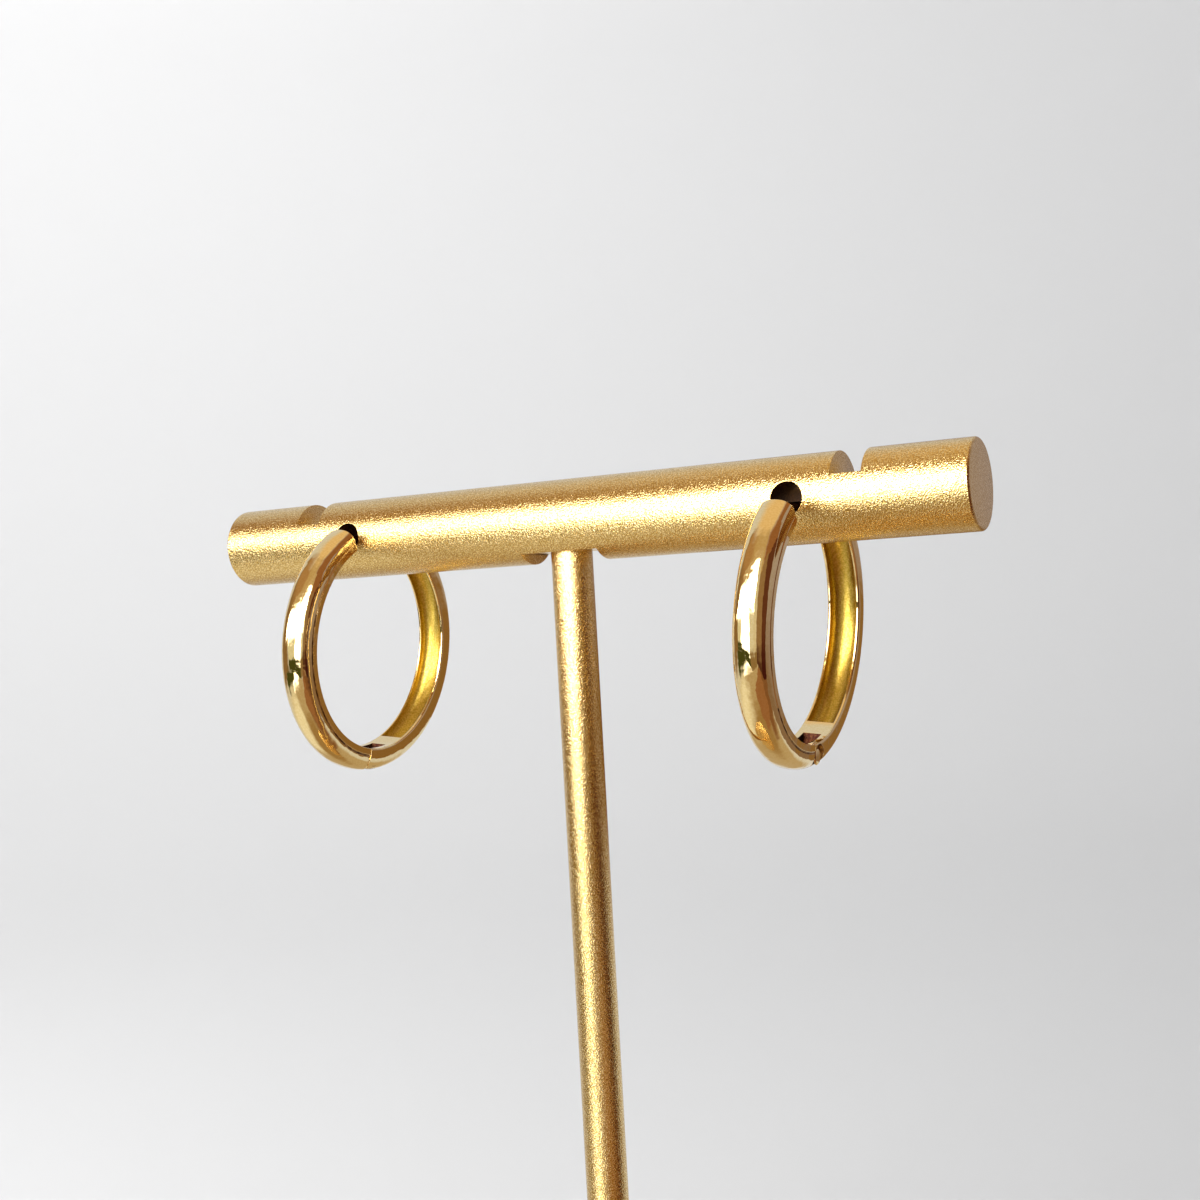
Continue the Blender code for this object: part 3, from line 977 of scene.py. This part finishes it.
def makeCard(setup):
    if "flat" in setup:
        corners = [(*corner, setup["height"]) for corner in setup["flat"]]
    else:
        foot = [(*setup[end], setup["low"]) for end in ("start", "end")]
        corners = foot + [(x, y, setup["high"]) for x, y, z in reversed(foot)]
    shape = bmesh.new()
    shape.faces.new([shape.verts.new(Vector(corner) * mm) for corner in corners])
    material = bpy.data.materials.new(setup["name"])
    material.use_nodes = True
    tree = material.node_tree
    shader = tree.nodes["Principled BSDF"]
    shader.inputs["Base Color"].default_value = (0, 0, 0, 1)
    shader.inputs["Specular IOR Level"].default_value = 0.0
    shader.inputs["Emission Strength"].default_value = 1.0
    place = addNode(tree, "ShaderNodeTexCoord")
    ragged = addNode(tree, "ShaderNodeTexNoise", in_Scale=raggedEdge["scale"],
                     in_Detail=raggedEdge["detail"])
    parts = addNode(tree, "ShaderNodeSeparateXYZ")
    drift = addNode(tree, "ShaderNodeMath", operation="MULTIPLY_ADD")
    drift.inputs[1].default_value = raggedEdge["height"] * mm
    link = tree.links.new
    link(place.outputs["Object"], ragged.inputs["Vector"])
    link(place.outputs["Object"], parts.inputs["Vector"])
    link(ragged.outputs["Fac"], drift.inputs[0])
    link(parts.outputs["Z"], drift.inputs[2])
    colour = None
    for height, soft, below, above in setup["steps"]:
        level = (height + raggedEdge["height"] / 2) * mm
        low, high = level - soft * mm, level + soft * mm
        rise = addNode(tree, "ShaderNodeMapRange", in_From_Min=low, in_From_Max=high)
        change = addNode(tree, "ShaderNodeMix", data_type="RGBA")
        if colour is None:
            change.inputs["A"].default_value = (*below, 1.0)
        else:
            link(colour, change.inputs["A"])
        change.inputs["B"].default_value = (*above, 1.0)
        link(drift.outputs["Value"], rise.inputs["Value"])
        link(rise.outputs["Result"], change.inputs["Factor"])
        colour = change.outputs["Result"]
    link(colour, shader.inputs["Emission Color"])
    card = makeObject(setup["name"], shape, [material])
    card.visible_camera = card.visible_diffuse = card.visible_shadow = False


for card in cards:
    makeCard(card)


def makeLamp(name, place, aim, size, power):
    data = bpy.data.lights.new(name, "AREA")
    data.size = size
    data.energy = power
    lamp = bpy.data.objects.new(name, data)
    turn = (Vector(aim) - Vector(place)).to_track_quat("-Z", "Y")
    lamp.matrix_world = Matrix.Translation(place) @ turn.to_matrix().to_4x4()
    lamp.visible_camera = False
    lamp.visible_glossy = False
    scene.collection.objects.link(lamp)


for name, setup in lamps.items():
    makeLamp(name, *setup)


# Surroundings that the gold mirrors, far away.
# Each is a patch of sky about an azimuth from +Y towards +X and an elevation.

surroundings = {
    # Azimuth, half its width, elevation, half its height, softness of its edge, light
    "floorGlow": (0, 200, -72, 44, 6, (0.53, 0.42, 0.26)),
    "floorGlowLeft": (-104, 38, -46, 17, 10, (0.95, 0.92, 0.78)),
    "floorUnder": (0, 200, -90, 30, 10, (0.37, 0.24, 0.10)),
    "ceiling": (0, 200, 90, 28, 10, (0.86, 0.64, 0.36)),
    "aboveSoftbox": (-176, 50, 46, 24, 8, (0.58, 0.42, 0.21)),
    "leftBrownWall": (-111, 23, 18, 36, 6, (0.28, 0.17, 0.075)),
    "leftBrownTop": (-120, 26, 46, 14, 8, (0.46, 0.27, 0.12)),
    "rightBrownWall": (86, 50, 28, 34, 8, (0.32, 0.14, 0.055)),
    "rightLowWall": (92, 38, -36, 22, 8, (0.24, 0.11, 0.045)),
    "rightCreamCard": (124, 22, -4, 14, 6, (0.60, 0.42, 0.24)),
    "rightDarkSlot": (76, 24, -11, 10, 5, (0.035, 0.010, 0.008)),
    "rightWarmSlot": (66, 28, 3, 5, 4, (0.12, 0.045, 0.02)),
    "frontLowSoftbox": (-164, 22, -18, 13, 4, (3.3, 3.3, 3.2)),
    "oliveCard": (-134, 18, -20, 6, 3, olive),
}
backdropLight = (0.74, 0.745, 0.755)
wanderingEdges = {
    "scale": 5.0,
    "detail": 3.0,
    "strength": 0.16,
}


def makePatchGroup():
    # A mask that is one inside a patch of the sky and fades over its soft edge
    tree, start, end = newGroup(
        "surroundingPatch",
        [("Direction", "NodeSocketVector", None), ("Azimuth", "NodeSocketFloat", 0.0),
         ("Wide", "NodeSocketFloat", 0.5), ("Elevation", "NodeSocketFloat", 0.0),
         ("High", "NodeSocketFloat", 0.5), ("Soft", "NodeSocketFloat", 0.1)],
        [("Mask", "NodeSocketFloat")],
    )
    link = tree.links.new
    turn = addNode(tree, "ShaderNodeVectorRotate", rotation_type="Z_AXIS")
    parts = addNode(tree, "ShaderNodeSeparateXYZ")
    heading = addNode(tree, "ShaderNodeMath", operation="ARCTAN2")
    rise = addNode(tree, "ShaderNodeMath", operation="ARCSINE")
    link(start.outputs["Direction"], turn.inputs["Vector"])
    link(start.outputs["Azimuth"], turn.inputs["Angle"])
    link(turn.outputs["Vector"], parts.inputs["Vector"])
    link(parts.outputs["X"], heading.inputs[0])
    link(parts.outputs["Y"], heading.inputs[1])
    link(parts.outputs["Z"], rise.inputs[0])
    offset = addNode(tree, "ShaderNodeMath", operation="SUBTRACT")
    link(rise.outputs["Value"], offset.inputs[0])
    link(start.outputs["Elevation"], offset.inputs[1])
    masks = []
    for value, reach in ((heading, "Wide"), (offset, "High")):
        size = addNode(tree, "ShaderNodeMath", operation="ABSOLUTE")
        inside = addNode(tree, "ShaderNodeMath", operation="SUBTRACT")
        share = addNode(tree, "ShaderNodeMath", operation="DIVIDE")
        smooth = addNode(tree, "ShaderNodeMapRange", interpolation_type="SMOOTHSTEP", in_From_Min=-1.0,
                         in_From_Max=1.0)
        link(value.outputs["Value"], size.inputs[0])
        link(start.outputs[reach], inside.inputs[0])
        link(size.outputs["Value"], inside.inputs[1])
        link(inside.outputs["Value"], share.inputs[0])
        link(start.outputs["Soft"], share.inputs[1])
        link(share.outputs["Value"], smooth.inputs["Value"])
        masks.append(smooth)
    both = addNode(tree, "ShaderNodeMath", operation="MULTIPLY")
    link(masks[0].outputs["Result"], both.inputs[0])
    link(masks[1].outputs["Result"], both.inputs[1])
    link(both.outputs["Value"], end.inputs["Mask"])
    return tree


def makeWorld(patches, ground):
    world = bpy.data.worlds.new("surroundings")
    world.use_nodes = True
    scene.world = world
    world.cycles_visibility.camera = False
    world.cycles_visibility.diffuse = False
    world.cycles.sampling_method = "NONE"
    tree = world.node_tree
    link = tree.links.new
    direction = addNode(tree, "ShaderNodeTexCoord")
    wander = addNode(tree, "ShaderNodeTexNoise", in_Scale=wanderingEdges["scale"],
                     in_Detail=wanderingEdges["detail"])
    centred = addNode(tree, "ShaderNodeVectorMath", operation="SUBTRACT")
    centred.inputs[1].default_value = (0.5, 0.5, 0.5)
    scaled = addNode(tree, "ShaderNodeVectorMath", operation="SCALE", in_Scale=wanderingEdges["strength"])
    shifted = addNode(tree, "ShaderNodeVectorMath", operation="ADD")
    unit = addNode(tree, "ShaderNodeVectorMath", operation="NORMALIZE")
    link(direction.outputs["Generated"], wander.inputs["Vector"])
    link(wander.outputs["Color"], centred.inputs[0])
    link(centred.outputs["Vector"], scaled.inputs[0])
    link(direction.outputs["Generated"], shifted.inputs[0])
    link(scaled.outputs["Vector"], shifted.inputs[1])
    link(shifted.outputs["Vector"], unit.inputs[0])
    group = makePatchGroup()
    colour = None
    for *angles, light in patches.values():
        azimuth, wide, elevation, high, soft = map(math.radians, angles)
        mask = placeGroup(tree, group, Azimuth=azimuth, Wide=wide, Elevation=elevation, High=high,
                          Soft=soft)
        over = addNode(tree, "ShaderNodeMix", data_type="RGBA")
        if colour is None:
            over.inputs["A"].default_value = (*ground, 1.0)
        else:
            link(colour, over.inputs["A"])
        over.inputs["B"].default_value = (*light, 1.0)
        link(unit.outputs["Vector"], mask.inputs["Direction"])
        link(mask.outputs["Mask"], over.inputs["Factor"])
        colour = over.outputs["Result"]
    link(colour, tree.nodes["Background"].inputs["Color"])


makeWorld(surroundings, backdropLight)
scene.view_settings.view_transform = "Standard"
print("studio lit")
